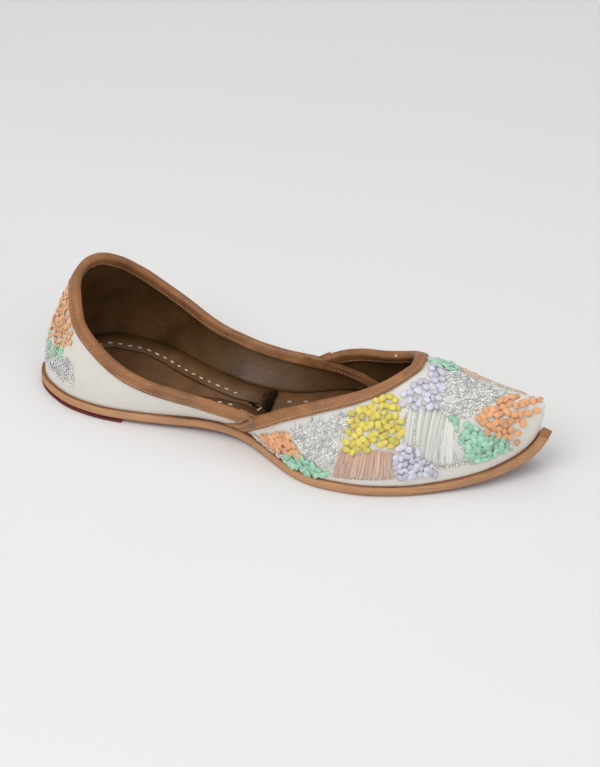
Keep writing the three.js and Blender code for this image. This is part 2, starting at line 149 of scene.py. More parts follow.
# Leather, satin and thread, as red, green and blue.
CREAM = (0.86, 0.83, 0.76)
IVORY = (0.8, 0.79, 0.73)
YELLOW = (0.84, 0.7, 0.14)
PEACH = (0.9, 0.44, 0.22)
MINT = (0.42, 0.74, 0.55)
LAVENDER = (0.72, 0.71, 0.84)
SILVER = (0.74, 0.78, 0.77)
BLUSH = (0.83, 0.56, 0.43)
SILK = (0.87, 0.87, 0.85)
TAN = (0.3, 0.13, 0.05)
LINING_BROWN = (0.1, 0.05, 0.016)
INSOLE_BROWN = (0.13, 0.06, 0.022)
SOLE_TAN = (0.52, 0.27, 0.13)
OXBLOOD = (0.2, 0.02, 0.025)

# Patches of the vamp: what fills them, its colour, its spacing in millimetres and the outline.
CHIP_PATCHES = {
    "chips_peach_ear": (PEACH, 2.3, [(-4, 4), (8, 22), (12, 24), (17, 15), (21, 9), (14, 4), (4, -1)]),
    "chips_mint_ear": (MINT, 2.3, [(11, 1), (18, 9), (25, 7), (35, 3), (32, -3), (22, -5), (12, -5)]),
    "chips_yellow": (
        YELLOW,
        2.7,
        [(41, 44), (46, 53), (54, 61), (58, 64), (61, 54), (65, 38), (63, 26), (54, 25), (45, 19), (39, 22)],
    ),
    "chips_lavender_low": (
        LAVENDER,
        2.5,
        [(63, 28), (67, 33), (72, 27), (75, 17), (82, 10), (81, 3), (64, 3), (61, 18)],
    ),
    "chips_lavender_top": (
        LAVENDER,
        2.9,
        [(59, 62), (62, 71), (67, 81), (68, 101), (74, 96), (76, 80), (79, 68), (75, 62), (63, 56)],
    ),
    "chips_mint_toe": (
        MINT,
        2.5,
        [
            *((79, 63), (86, 59), (93, 60), (100, 57), (108, 64)),
            *((109, 52), (102, 30), (95, 18), (91, 29), (88, 50)),
        ],
    ),
    "chips_peach_toe": (
        PEACH,
        2.7,
        [(92, 65), (96, 76), (106, 94), (114, 100), (121, 104), (122, 84), (114, 72), (109, 65), (100, 58)],
    ),
    "chips_mint_top": (MINT, 2.3, [(65, 104), (70, 116), (78, 120), (80, 106), (74, 99)]),
    "chips_yellow_far": (YELLOW, 2.6, [(80, 122), (90, 124), (98, 120), (96, 142), (86, 150), (76, 142)]),
    "chips_lavender_far": (LAVENDER, 2.7, [(48, 132), (58, 126), (64, 132), (63, 152), (52, 160), (42, 152)]),
    "chips_peach_far": (PEACH, 2.5, [(66, 140), (76, 146), (84, 154), (82, 172), (68, 174), (62, 158)]),
    "chips_mint_far": (MINT, 2.5, [(96, 148), (106, 138), (112, 132), (110, 152), (100, 164), (92, 162)]),
}
BEAD_PATCHES = {
    "bugles_ear": (
        SILVER,
        1.75,
        [(13, 25), (16, 31), (31, 41), (41, 46), (41, 35), (38, 22), (37, 5), (30, 6), (21, 11), (17, 17)],
    ),
    "bugles_top": (
        SILVER,
        1.75,
        [
            *((76, 97), (80, 104), (92, 100), (104, 97), (104, 91)),
            *((96, 76), (92, 65), (86, 60), (79, 64), (76, 80)),
        ],
    ),
    "bugles_far": (
        SILVER,
        1.85,
        [(24, 152), (36, 146), (44, 154), (56, 162), (62, 172), (40, 176), (22, 172)],
    ),
}
# Patches of laid threads: colour, the edge where they start, the edge where they end, how many, and width.
THREAD_PATCHES = {
    "thread_blush": (
        BLUSH,
        [(39, 21), (46, 18), (54, 24), (62, 24)],
        [(36, -1), (46, 0), (56, 1), (63, 2)],
        60,
        0.55,
    ),
    "ribbon_ivory": (
        IVORY,
        [(65, 58), (70, 60), (78, 62), (85, 56)],
        [(66, 31), (72, 26), (78, 15), (88, 17)],
        15,
        2.1,
    ),
    "thread_silk": (
        SILK,
        [(76, 46), (80, 48), (84, 46), (88, 40)],
        [(79, 14), (84, 13), (90, 15), (93, 21)],
        30,
        0.5,
    ),
    "thread_gold": (
        BLUSH,
        [(70, 122), (76, 120), (82, 106)],
        [(99, 118), (105, 112), (112, 103)],
        22,
        0.6,
    ),
}
# Lines of seed beads.
SEED_LINES = {
    "seeds_ribbon": [
        *((65, 59), (64, 46), (66, 31), (72, 25), (78, 14), (82, 12)),
        *((94, 20), (90, 34), (88, 47), (84, 57), (78, 63), (70, 62), (65, 59)),
    ],
    "seeds_inner": [(68, 54), (69, 44), (70, 34), (75, 25)],
    "seeds_top": [(66, 103), (74, 99), (79, 106), (84, 110), (94, 106), (106, 102)],
    "seeds_thread": [(69, 122), (78, 121), (84, 108)],
    "seeds_far": [(58, 124), (66, 134), (64, 152), (78, 146), (86, 152), (98, 146)],
    "seeds_toe": [(112, 62), (108, 50), (101, 28), (94, 15)],
}
# Ring sequins along the rear edge of the vamp, and the three patches of the back.
EAR_RINGS = [(-6, 0), (0, -3), (6, -3), (11, -2)]
HEEL_CHIPS = [
    *((-62, 46), (-34, 52), (0, 57), (34, 51), (62, 46), (66, 34)),
    *((48, 27), (16, 27), (-16, 27), (-48, 27), (-66, 34)),
]
HEEL_MINT = [
    *((-60, 33), (-40, 26), (0, 26), (40, 26), (52, 33)),
    *((56, 24), (44, 19), (0, 19), (-44, 19), (-58, 24)),
]
HEEL_RINGS = [
    *((-72, 32), (-56, 24), (0, 19), (56, 24), (70, 31), (76, 22)),
    *((70, 13), (40, 12), (0, 13), (-40, 12), (-72, 15)),
]

# Soft troughs and ridges of the upper: middle, half length and half width in millimetres, and depth,
# negative for a ridge. They run across the shoe.
CREASES = [
    {"at": (-30, -26, 14), "lie": (0.5, 0.1, 0.85), "long": 9, "wide": 2.6, "deep": 0.45},
    {"at": (-37, -26, 14), "lie": (0.4, 0.1, 0.9), "long": 10, "wide": 3, "deep": -0.3},
    {"at": (-52, -28, 16), "lie": (0.45, 0, 0.9), "long": 12, "wide": 4, "deep": 0.35},
    {"at": (-46, 36, 18), "lie": (0.4, 0, 0.9), "long": 12, "wide": 4, "deep": 0.4},
    {"at": (-28, 30, 14), "lie": (0.5, 0, 0.85), "long": 9, "wide": 3, "deep": 0.4},
    {"at": (-112, -6, 38), "lie": (0.1, 0.1, 1), "long": 14, "wide": 2.2, "deep": 0.35},
    {"at": (-110, 16, 40), "lie": (0, 0.1, 1), "long": 15, "wide": 2.4, "deep": 0.4},
    {"at": (-104, 26, 38), "lie": (0.05, 0.1, 1), "long": 13, "wide": 2, "deep": 0.3},
    {"at": (104, -14, 26), "lie": (0.2, -0.4, 1), "long": 8, "wide": 3, "deep": 0.3},
]


# --- shader maths ---------------------------------------------------------------------------------------


class Wire:
    """An output of a shader node that takes part in sums."""

    def __init__(self, finish, socket):
        self.finish = finish
        self.socket = socket

    def _math(self, operation, first, second):
        return self.finish.node("ShaderNodeMath", {"operation": operation}, {0: first, 1: second})

    def __add__(self, other):
        return self._math("ADD", self, other)

    def __radd__(self, other):
        return self._math("ADD", other, self)

    def __sub__(self, other):
        return self._math("SUBTRACT", self, other)

    def __rsub__(self, other):
        return self._math("SUBTRACT", other, self)

    def __mul__(self, other):
        return self._math("MULTIPLY", self, other)

    def __rmul__(self, other):
        return self._math("MULTIPLY", other, self)


class Finish:
    """A material with one Principled shader, and short ways to make the nodes that feed it."""

    def __init__(self, name, **constants):
        self.material = bpy.data.materials.new(name)
        self.material.use_nodes = True
        self.tree = self.material.node_tree
        self.shader = self.tree.nodes["Principled BSDF"]
        self.place = self.node("ShaderNodeTexCoord", out="Object")
        for socket, value in constants.items():
            self.feed(socket.replace("_", " "), value)

    def node(self, kind, settings=None, values=None, out=0):
        made = self.tree.nodes.new(kind)
        for key, value in (settings or {}).items():
            setattr(made, key, value)
        for key, value in (values or {}).items():
            self._join(made.inputs[key], value)
        return Wire(self, made.outputs[out])

    def _join(self, socket, value):
        if isinstance(value, Wire):
            self.tree.links.new(value.socket, socket)
        elif isinstance(value, tuple) and len(value) == 3 and socket.type == "RGBA":
            socket.default_value = (*value, 1)
        else:
            socket.default_value = value

    def feed(self, socket, value):
        self._join(self.shader.inputs[socket], value)

    def noise(self, scale, detail=3, rough=0.55, place=None):
        values = {"Vector": place or self.place, "Scale": scale, "Detail": detail, "Roughness": rough}
        return self.node("ShaderNodeTexNoise", None, values)

    def cells(self, scale):
        return self.node("ShaderNodeTexVoronoi", None, {"Vector": self.place, "Scale": scale}, out="Distance")

    def stretched(self, scale, turn=(0, 0, 0)):
        values = {"Vector": self.place, "Scale": scale, "Rotation": turn}
        return self.node("ShaderNodeMapping", {"vector_type": "POINT"}, values)

    def within(self, value, low, high, to_low=0.0, to_high=1.0):
        values = {"Value": value, "From Min": low, "From Max": high, "To Min": to_low, "To Max": to_high}
        return self.node("ShaderNodeMapRange", None, values)

    def blend(self, factor, first, second):
        values = {"Factor": factor, 6: first, 7: second}
        return self.node("ShaderNodeMix", {"data_type": "RGBA"}, values, out=2)

    def tone(self):
        return self.node("ShaderNodeAttribute", {"attribute_name": "tone"}, out="Fac")

    def bump(self, height, strength, distance):
        values = {"Height": height, "Strength": strength, "Distance": distance * MM}
        self.feed("Normal", self.node("ShaderNodeBump", None, values))


def shade(colour, factor):
    return tuple(min(1.0, channel * factor) for channel in colour)


def leather(name, colour, light=1.35, dark=0.6, roughness=0.5, pores=900, worn=0.5):
    """Leather with cloudy dye, fine pores and shallow scratches."""
    finish = Finish(name, Specular_IOR_Level=0.4)
    clouds = finish.within(finish.noise(70, 4), 0.3, 0.7)
    fine = finish.noise(650, 4, 0.7)
    scratches = finish.noise(1, 3, 0.6, finish.stretched((60, 500, 900), (0.3, 0.5, 0.2)))
    base = finish.blend(clouds, shade(colour, dark), shade(colour, light))
    rubbed = finish.within(scratches, 0.58, 0.72) * worn
    base = finish.blend(rubbed, base, shade(colour, light * 1.3))
    finish.feed("Base Color", finish.blend(finish.within(fine, 0.45, 0.75) * 0.35, base, shade(colour, 0.5)))
    finish.feed("Roughness", roughness + clouds * 0.12 - rubbed * 0.1)
    finish.bump(finish.cells(pores) * 0.5 + fine * 0.5 + scratches * 0.4, 0.5, 0.25)
    return finish.material


def satin(name, colour):
    """Satin with a fine cross weave, faint soiling and a soft sheen."""
    finish = Finish(name, Specular_IOR_Level=0.5, Sheen_Weight=0.25, Sheen_Roughness=0.4)
    along = finish.noise(1, 2, 0.5, finish.stretched((350, 3200, 3200)))
    across = finish.noise(1, 2, 0.5, finish.stretched((3200, 500, 500)))
    soil = finish.within(finish.noise(45, 4), 0.45, 0.8)
    slub = finish.within(along, 0.35, 0.7)
    base = finish.blend(slub, shade(colour, 0.93), shade(colour, 1.04))
    finish.feed("Base Color", finish.blend(soil * 0.35, base, shade(colour, 0.84)))
    finish.feed("Roughness", 0.36 + slub * 0.1)
    finish.bump(along * 0.6 + across * 0.4 + finish.noise(55, 2) * 3, 0.35, 0.3)
    return finish.material


def layered_edge(name, colour):
    """The sole's edge: pressed leather in fine level layers, darker where it is waxed."""
    finish = Finish(name, Specular_IOR_Level=0.45)
    layers = finish.noise(1, 4, 0.65, finish.stretched((25, 25, 1500)))
    clouds = finish.within(finish.noise(60, 4), 0.3, 0.7)
    smudge = finish.within(finish.noise(28, 3), 0.6, 0.72)
    base = finish.blend(finish.within(layers, 0.35, 0.65), shade(colour, 0.7), shade(colour, 1.2))
    base = finish.blend(clouds * 0.5, base, shade(colour, 1.35))
    finish.feed("Base Color", finish.blend(smudge * 0.55, base, (0.2, 0.09, 0.06)))
    finish.feed("Roughness", 0.45 + clouds * 0.2)
    finish.bump(layers + finish.noise(900, 2) * 0.4, 0.5, 0.2)
    return finish.material


def ribbon_chip(name, colour):
    """Short cut ribbon: each chip has its own tone, a fine rib and a dull shine."""
    finish = Finish(name, Specular_IOR_Level=0.4, Sheen_Weight=0.15)
    tone = finish.tone()
    rib = finish.noise(1, 2, 0.5, finish.stretched((2500, 2500, 700), (0.4, 0.2, 0.3)))
    base = finish.blend(tone, shade(colour, 0.78), shade(colour, 1.14))
    finish.feed("Base Color", finish.blend(finish.within(rib, 0.4, 0.7) * 0.25, base, shade(colour, 1.3)))
    finish.feed("Roughness", 0.42 + tone * 0.15)
    finish.bump(rib + finish.noise(400, 2), 0.3, 0.15)
    return finish.material


def glass_bead(name, colour):
    """Clear silver-lined glass, some beads whiter than others."""
    finish = Finish(name, Specular_IOR_Level=0.7, Coat_Roughness=0.08, IOR=1.5)
    tone = finish.tone()
    base = finish.blend(finish.within(tone, 0.2, 0.8), shade(colour, 0.72), (0.95, 0.96, 0.94))
    finish.feed("Base Color", base)
    finish.feed("Metallic", finish.within(tone, 0.6, 0.9) * 0.35)
    finish.feed("Coat Weight", 0.4 + tone * 0.4)
    finish.feed("Roughness", 0.16 + finish.noise(600, 2) * 0.2)
    finish.bump(finish.noise(900, 2), 0.2, 0.1)
    return finish.material


def thread(name, colour, roughness=0.3):
    """Twisted silk thread, glossy along its length."""
    finish = Finish(name, Specular_IOR_Level=0.6, Sheen_Weight=0.2)
    tone = finish.tone()
    twist = finish.noise(1500, 3)
    base = finish.blend(tone, shade(colour, 0.72), shade(colour, 1.18))
    finish.feed("Base Color", finish.blend(finish.within(twist, 0.5, 0.75) * 0.3, base, shade(colour, 1.4)))
    finish.feed("Roughness", roughness + twist * 0.12)
    finish.bump(twist, 0.4, 0.12)
    return finish.material


# --- shapes ---------------------------------------------------------------------------------------------


def quads_of(node):
    """A bmesh of a CAD node with its triangles joined back into quads."""
    made = bmesh.new()
    made.from_mesh(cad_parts[node].data)
    bmesh.ops.remove_doubles(made, verts=made.verts, dist=WELD)
    bmesh.ops.dissolve_degenerate(made, edges=made.edges, dist=10 * WELD)
    bmesh.ops.join_triangles(
        made, faces=made.faces, angle_face_threshold=JOIN_BEND, angle_shape_threshold=JOIN_SKEW
    )
    return made


def crease_corners(made, angle, crease):
    """Keeps corners sharper than an angle from being smoothed away."""
    layer = made.edges.layers.float.new("crease_edge")
    for edge in made.edges:
        if len(edge.link_faces) == 2 and edge.calc_face_angle(0) > angle:
            edge[layer] = crease


def piece(name, made, materials, stands_for=(), levels=0):
    """Turns a bmesh into a finished piece that rides on the shoe."""
    mesh = bpy.data.meshes.new(name)
    made.to_mesh(mesh)
    made.free()
    return mesh_piece(name, mesh, materials, stands_for, levels)


def mesh_piece(name, mesh, materials, stands_for=(), levels=0):
    for material in materials:
        mesh.materials.append(material)
    mesh.polygons.foreach_set("use_smooth", [True] * len(mesh.polygons))
    made = bpy.data.objects.new(name, mesh)
    bpy.context.scene.collection.objects.link(made)
    if levels:
        smooth = made.modifiers.new("Smooth", "SUBSURF")
        smooth.levels = levels
        smooth.render_levels = levels
    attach(made, "root")
    if stands_for:
        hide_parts(*stands_for)
    return made


def settled(made):
    """Applies a piece's modifiers to its mesh."""
    bpy.context.view_layer.update()
    graph = bpy.context.evaluated_depsgraph_get()
    mesh = bpy.data.meshes.new_from_object(made.evaluated_get(graph))
    made.modifiers.clear()
    made.data = mesh
    return mesh


def template(build):
    """Vertices and faces of a small shape, for laying many of it."""
    made = bmesh.new()
    build(made)
    bmesh.ops.recalc_face_normals(made, faces=made.faces)
    made.verts.index_update()
    points = [vert.co.copy() for vert in made.verts]
    faces = [[vert.index for vert in face.verts] for face in made.faces]
    made.free()
    return points, faces


def laid(name, shape, places, material):
    """One piece from a shape laid at many places. A place is a function of a point, or a matrix."""
    points, faces = shape
    verts, polygons, tones = [], [], []
    for place, tone in places:
        first = len(verts)
        move = place if callable(place) else place.__matmul__
        verts.extend(move(point) for point in points)
        polygons.extend([first + i for i in face] for face in faces)
        tones.extend([tone] * len(points))
    mesh = bpy.data.meshes.new(name)
    mesh.from_pydata(verts, [], polygons)
    mesh.attributes.new("tone", "FLOAT", "POINT").data.foreach_set("value", tones)
    return mesh_piece(name, mesh, [material])


def chip_shape(made):
    """A short piece of ribbon, domed along and across."""
    size = bpy.context.scene.mojari
    bmesh.ops.create_grid(made, x_segments=4, y_segments=3, size=0.5)
    for vert in made.verts:
        along, across = 2 * vert.co.x, 2 * vert.co.y
        dome = (1 - 0.8 * along * along) * (1 - 0.55 * across * across)
        vert.co.x *= size.chip_length * (1 - 0.1 * across * across)
        vert.co.y *= size.chip_width * (1 - 0.22 * along * along)
        vert.co.z = size.chip_rise * dome
    bmesh.ops.solidify(made, geom=made.faces[:], thickness=size.chip_thickness)


def bugle_shape(made):
    """A short glass tube with rounded ends."""
    size = bpy.context.scene.mojari
    lie = Matrix.Rotation(math.pi / 2, 4, "Y")
    radius = size.bugle_width / 2
    bmesh.ops.create_cone(
        made, cap_ends=True, segments=7, radius1=radius, radius2=radius, depth=size.bugle_length, matrix=lie
    )
    rims = [edge for edge in made.edges if abs(edge.verts[0].co.x - edge.verts[1].co.x) < radius / 10]
    bmesh.ops.bevel(
        made,
        geom=rims,
        offset=radius / 3,
        offset_type="OFFSET",
        segments=1,
        profile=0.5,
        affect="EDGES",
        material=-1,
    )


def seed_shape(made):
    bmesh.ops.create_icosphere(made, subdivisions=1, radius=bpy.context.scene.mojari.seed_width / 2)
    bmesh.ops.scale(made, vec=(1, 1, 0.8), verts=made.verts)


def stitch_shape(made):
    """One stitch a unit long, thick in the middle."""
    bmesh.ops.create_icosphere(made, subdivisions=1, radius=0.5)


def ring_shape(made):
    """A ring sequin with a round hole."""
    width = bpy.context.scene.mojari.ring_width
    start = Matrix.Translation((width * 0.34, 0, 0)) @ Matrix.Rotation(math.pi / 2, 4, "X")
    bmesh.ops.create_circle(made, segments=4, radius=width * 0.16, matrix=start)
    for vert in made.verts:
        vert.co.z *= 0.55
    bmesh.ops.spin(
        made,
        geom=made.verts[:] + made.edges[:],
        axis=(0, 0, 1),
        cent=(0, 0, 0),
        angle=2 * math.pi,
        steps=12,
        use_merge=True,
    )


def strand_shape(made):
    """A unit strand along X that is bent onto a path."""
    bmesh.ops.create_grid(made, x_segments=9, y_segments=2, size=0.5)
    for vert in made.verts:
        vert.co.x += 0.5
        vert.co.z = 0.5 * (1 - 4 * vert.co.y * vert.co.y)
    bmesh.ops.solidify(made, geom=made.faces[:], thickness=0.35)


# --- laying on the shoe -----------------------------------------------------------------------------------


class Surface:
    """The finished outside of the shoe, read by rays."""

    def __init__(self, made):
        self.tree = BVHTree.FromPolygons(
            [vert.co for vert in made.data.vertices], [list(face.vertices) for face in made.data.polygons]
        )

    def vamp(self, along, degrees):
        turn = math.radians(degrees)
        out = Vector((0, -math.cos(turn), math.sin(turn)))
        start = Vector((MIDDLE_X + along * MM, VAMP_AXIS_Y, VAMP_AXIS_Z))
        return self.tree.ray_cast(start + out * REACH, -out)[:2]

    def heel(self, degrees, height):
        turn = math.radians(degrees)
        out = Vector((-math.cos(turn), -math.sin(turn), 0))
        start = Vector((HEEL_AXIS_X, HEEL_AXIS_Y, height * MM))
        return self.tree.ray_cast(start + out * REACH, -out)[:2]


def inside(outline, x, y):
    """Whether a place lies in an outline."""
    odd = False
    for (x1, y1), (x2, y2) in zip(outline, outline[1:] + outline[:1]):
        if (y1 > y) != (y2 > y) and x < (x2 - x1) * (y - y1) / (y2 - y1) + x1:
            odd = not odd
    return odd


def filled(outline, read, spacing, draw, first_step, second_step):
    """Evenly jittered hits inside an outline. The steps say how far a millimetre is each way."""
    lows = [min(point[i] for point in outline) for i in (0, 1)]
    highs = [max(point[i] for point in outline) for i in (0, 1)]
    hits = []
    rows = int((highs[0] - lows[0]) / (spacing * first_step * ROW_STEP)) + 2
    columns = int((highs[1] - lows[1]) / (spacing * second_step)) + 2
    for row in range(rows):
        for place in range(columns):
            first = lows[0] + spacing * first_step * (ROW_STEP * row + draw.uniform(-STRAY, STRAY))
            second = lows[1] + spacing * second_step * (place + 0.5 * (row % 2) + draw.uniform(-STRAY, STRAY))
            if not inside(outline, first, second):
                continue
            hit, normal = read(first, second)
            if hit is None:
                continue
            if any((hit - other).length < NEAREST * spacing * MM for other, _ in hits[-LAID_BEFORE:]):
                continue
            hits.append((hit, normal))
    return hits


def standing(hit, normal, turn, lift=0.0, tilt=0.0, roll=0.0, scale=1.0):
    """A matrix that lays a shape flat on a surface, turned about the normal and tilted."""
    base = normal.to_track_quat("Z", "Y").to_matrix().to_4x4()
    pose = Matrix.Rotation(turn, 4, "Z") @ Matrix.Rotation(tilt, 4, "Y") @ Matrix.Rotation(roll, 4, "X")
    return Matrix.Translation(hit + normal * lift) @ base @ pose @ Matrix.Scale(scale, 4)


def facing(hit, normal, along, length, width, height, lift=0.0):
    """A matrix that lays a unit shape along a direction on a surface."""
    side = normal.cross(along).normalized()
    ahead = side.cross(normal)
    frame_of = Matrix((ahead, side, normal)).transposed().to_4x4()
    return Matrix.Translation(hit + normal * lift) @ frame_of @ Matrix.Diagonal((length, width, height, 1))


def along_line(points, share):
    """The place at a share of a line of points."""
    lengths = [math.dist(a, b) for a, b in zip(points, points[1:])]
    left = share * sum(lengths)
    for (a, b), length in zip(zip(points, points[1:]), lengths):
        if left <= length:
            return tuple(p + (q - p) * left / length for p, q in zip(a, b))
        left -= length
    return tuple(points[-1])


def spaced(points, step):
    """Points and directions at even steps along a line in space."""
    run, made = 0.0, []
    for a, b in zip(points, points[1:]):
        length = (b - a).length
        while run <= length and length > 0:
            made.append((a.lerp(b, run / length), (b - a) / length))
            run += step
        run -= length
    return made


def smooth_line(points, rounds):
    """Rounds a line's corners off and keeps its ends."""
    for _ in range(rounds):
        middles = [(a + 2 * b + c) / 4 for a, b, c in zip(points, points[1:], points[2:])]
        points = [points[0], *middles, points[-1]]
    return points


def dent(made):
    """Presses the creases into the settled mesh."""
    mesh = made.data
    starts = [(vert.co.copy(), vert.normal.copy()) for vert in mesh.vertices]
    for vert, (start, normal) in zip(mesh.vertices, starts):
        press = 0.0
        for crease in CREASES:
            gap = start - Vector(crease["at"]) * MM
            if gap.length > 3 * crease["long"] * MM:
                continue
            lie = Vector(crease["lie"]).normalized()
            along = gap.dot(lie)
            aside = (gap - lie * along).length
            fade = math.exp(-((along / (crease["long"] * MM)) ** 2) - (aside / (crease["wide"] * MM)) ** 2)
            press += crease["deep"] * MM * fade
        vert.co = start - normal * press
    mesh.update()


# --- sizes and colours ------------------------------------------------------------------------------------


def length(name, description, default):
    return bpy.props.FloatProperty(
        name=name, description=description, default=default, min=0.0, subtype="DISTANCE", unit="LENGTH"
    )


def colour(name, description, default):
    return bpy.props.FloatVectorProperty(
        name=name, description=description, default=default, size=3, min=0.0, max=1.0, subtype="COLOR"
    )


class MojariSizes(bpy.types.PropertyGroup):
    """Sizes and colours of the shoe's finish."""

    satin: colour("Satin", "Colour of the upper's satin", CREAM)
    lining: colour("Lining", "Colour of the lining leather", LINING_BROWN)
    binding: colour("Binding", "Colour of the folded binding", TAN)
    insole: colour("Insole", "Colour of the insole", INSOLE_BROWN)
    sole: colour("Sole", "Colour of the sole's edge", SOLE_TAN)
    underside: colour("Underside", "Colour of the heel lift and the underside", OXBLOOD)
    chip_length: length("Chip length", "Length of a ribbon chip", 3.7 * MM)
    chip_width: length("Chip width", "Width of a ribbon chip", 2.7 * MM)
    chip_rise: length("Chip rise", "Height of a chip's dome", 0.75 * MM)
    chip_thickness: length("Chip thickness", "Thickness of the ribbon", 0.3 * MM)
    bugle_length: length("Bugle length", "Length of a bugle bead", 2.1 * MM)
    bugle_width: length("Bugle width", "Width of a bugle bead", 0.95 * MM)
    seed_width: length("Seed width", "Width of a seed bead", 1.25 * MM)
    ring_width: length("Ring width", "Width of a ring sequin", 3.2 * MM)
    fine_stitch: length("Fine stitch", "Length of the bindings' stitches", 0.95 * MM)
    fine_pitch: length("Fine pitch", "From one binding stitch to the next", 1.5 * MM)
    coarse_stitch: length("Coarse stitch", "Length of the insole's stitches", 3.0 * MM)
    coarse_pitch: length("Coarse pitch", "From one insole stitch to the next", 5.2 * MM)
    margin: length("Heel margin", "Width of the stitched margin round the heel", 12 * MM)
    margin_thickness: length("Margin thickness", "Thickness of the stitched margin", 0.8 * MM)


# --- pieces -----------------------------------------------------------------------------------------------


class MojariOperator(bpy.types.Operator):
    """Base of the shoe's operators"""

    bl_options = {"REGISTER"}


class BuildSole(MojariOperator):
    """Build the outsole, the heel lift and the insole"""

    bl_idname = "mojari.build_sole"
    bl_label = "Sole"

    def execute(self, context):
        look = context.scene.mojari
        edge = layered_edge("sole_edge", tuple(look.sole))
        under = leather("sole_underside", tuple(look.underside), roughness=0.6, worn=0.4)
        flange = leather("sole_top", shade(tuple(look.binding), 1.1), roughness=0.5)
        sole = quads_of("outsole")
        crease_corners(sole, CORNER, HELD_SOLE)
        for face in sole.faces:
            if face.normal.z < -LEVEL:
                face.material_index = 1
            elif face.normal.z > LEVEL:
                face.material_index = 2
        piece("sole", sole, [edge, under, flange], ("outsole",), SMOOTHING)
        lift = quads_of("heel_lift")
        crease_corners(lift, CORNER, HELD_SOLE)
        piece("lift", lift, [under], ("heel_lift",), SMOOTHING)
        sock = quads_of("insole")
        crease_corners(sock, CORNER, HELD_SOCK)
        brown = leather("insole_brown", tuple(look.insole), light=1.5, dark=0.75, roughness=0.42, worn=0.25)
        piece("sock", sock, [brown], ("insole",), SMOOTHING)
        return {"FINISHED"}


class BuildUpper(MojariOperator):
    """Build the satin upper with its leather lining"""

    bl_idname = "mojari.build_upper"
    bl_label = "Upper"

    def execute(self, context):
        look = context.scene.mojari
        skin = quads_of("upper")
        crease_corners(skin, WALL_CORNER, HELD_WALL)
        materials = [
            satin("satin_cream", tuple(look.satin)),
            leather("lining_brown", tuple(look.lining), light=1.5, dark=0.7, roughness=0.38, worn=0.45),
        ]
        made = piece("shell", skin, materials, ("upper",), SMOOTHING)
        settled(made)
        dent(made)
        for face in made.data.polygons:
            spot = face.center
            heart = Vector((min(max(spot.x, HEART_REAR), HEART_FRONT), HEART_Y, HEART_Z))
            face.material_index = 1 if face.normal.dot(heart - spot) > 0 else 0
        return {"FINISHED"}


class BuildBindings(MojariOperator):
    """Build the leather bindings of the quarters and the vamp"""

    bl_idname = "mojari.build_bindings"
    bl_label = "Bindings"

    def execute(self, context):
        tan = leather("binding_tan", tuple(context.scene.mojari.binding), light=1.5, dark=0.75, roughness=0.4)
        for name, node in (("collar_fold", "quarter_binding"), ("throat_fold", "vamp_binding")):
            fold = quads_of(node)
            crease_corners(fold, FOLD_CORNER, HELD_FOLD)
            piece(name, fold, [tan], (node,), SMOOTHING)
        return {"FINISHED"}


def corner_lines(node, shell, far):
    """The corners of a binding that stand off the wall: lines of point, leaf normal and way into the leaf."""
    made = quads_of(node)
    made.normal_update()
    strips = {}
    for edge in made.edges:
        if len(edge.link_faces) != 2 or not edge.is_convex or edge.calc_face_angle(0) < FOLD_CORNER:
            continue
        middle = (edge.verts[0].co + edge.verts[1].co) / 2
        away = shell.tree.find_nearest(middle)[3]
        if away < far or edge.calc_length() < 0.7 * MM:
            continue
        leaf = max(edge.link_faces, key=lambda face: face.calc_area())
        ahead = (edge.verts[1].co - edge.verts[0].co).normalized()
        into = leaf.normal.cross(ahead)
        if into.dot(leaf.calc_center_median() - middle) < 0:
            into = -into
        strips[edge] = (leaf.normal.copy(), into)
    lines, left = [], set(strips)
    while left:
        edge = min(left, key=lambda one: one.index)
        left.discard(edge)
        chain = [edge]
        for end in (0, -1):
            vert = edge.verts[0] if end == 0 else edge.verts[1]
            while True:
                onward = [other for other in vert.link_edges if other in left]
                if not onward:
                    break
                left.discard(onward[0])
                if end == 0:
                    chain.insert(0, onward[0])
                else:
                    chain.append(onward[0])
                vert = onward[0].other_vert(vert)
        lines.append([((one.verts[0].co + one.verts[1].co) / 2, *strips[one]) for one in chain])
    made.free()
    return lines


class BuildBindingStitches(MojariOperator):
    """Sew the fine rows of stitches along both bindings"""

    bl_idname = "mojari.build_binding_stitches"
    bl_label = "Binding stitches"

    def execute(self, context):
        size = context.scene.mojari
        shell = Surface(bpy.data.objects["shell"])
        shape = template(stitch_shape)
        draw = random.Random(11)
        for name, node in (("collar_stitches", "quarter_binding"), ("throat_stitches", "vamp_binding")):
            places = []
            for line in corner_lines(node, shell, 0.8 * MM):
                points = smooth_line([spot + into * FINE_INSET for spot, _, into in line], 2)
                if len(points) < 3:
                    continue
                for spot, ahead in spaced(points, size.fine_pitch):
                    near = min(line, key=lambda one: (one[0] - spot).length)
                    sunk = facing(spot, near[1], ahead, size.fine_stitch, 0.42 * MM, 0.4 * MM)
                    places.append((sunk, draw.random()))
            if not places:
                raise RuntimeError(f"no line of stitches was found on {node}")
            laid(name, shape, places, thread(name + "_cream", (0.62, 0.47, 0.3)))
        return {"FINISHED"}


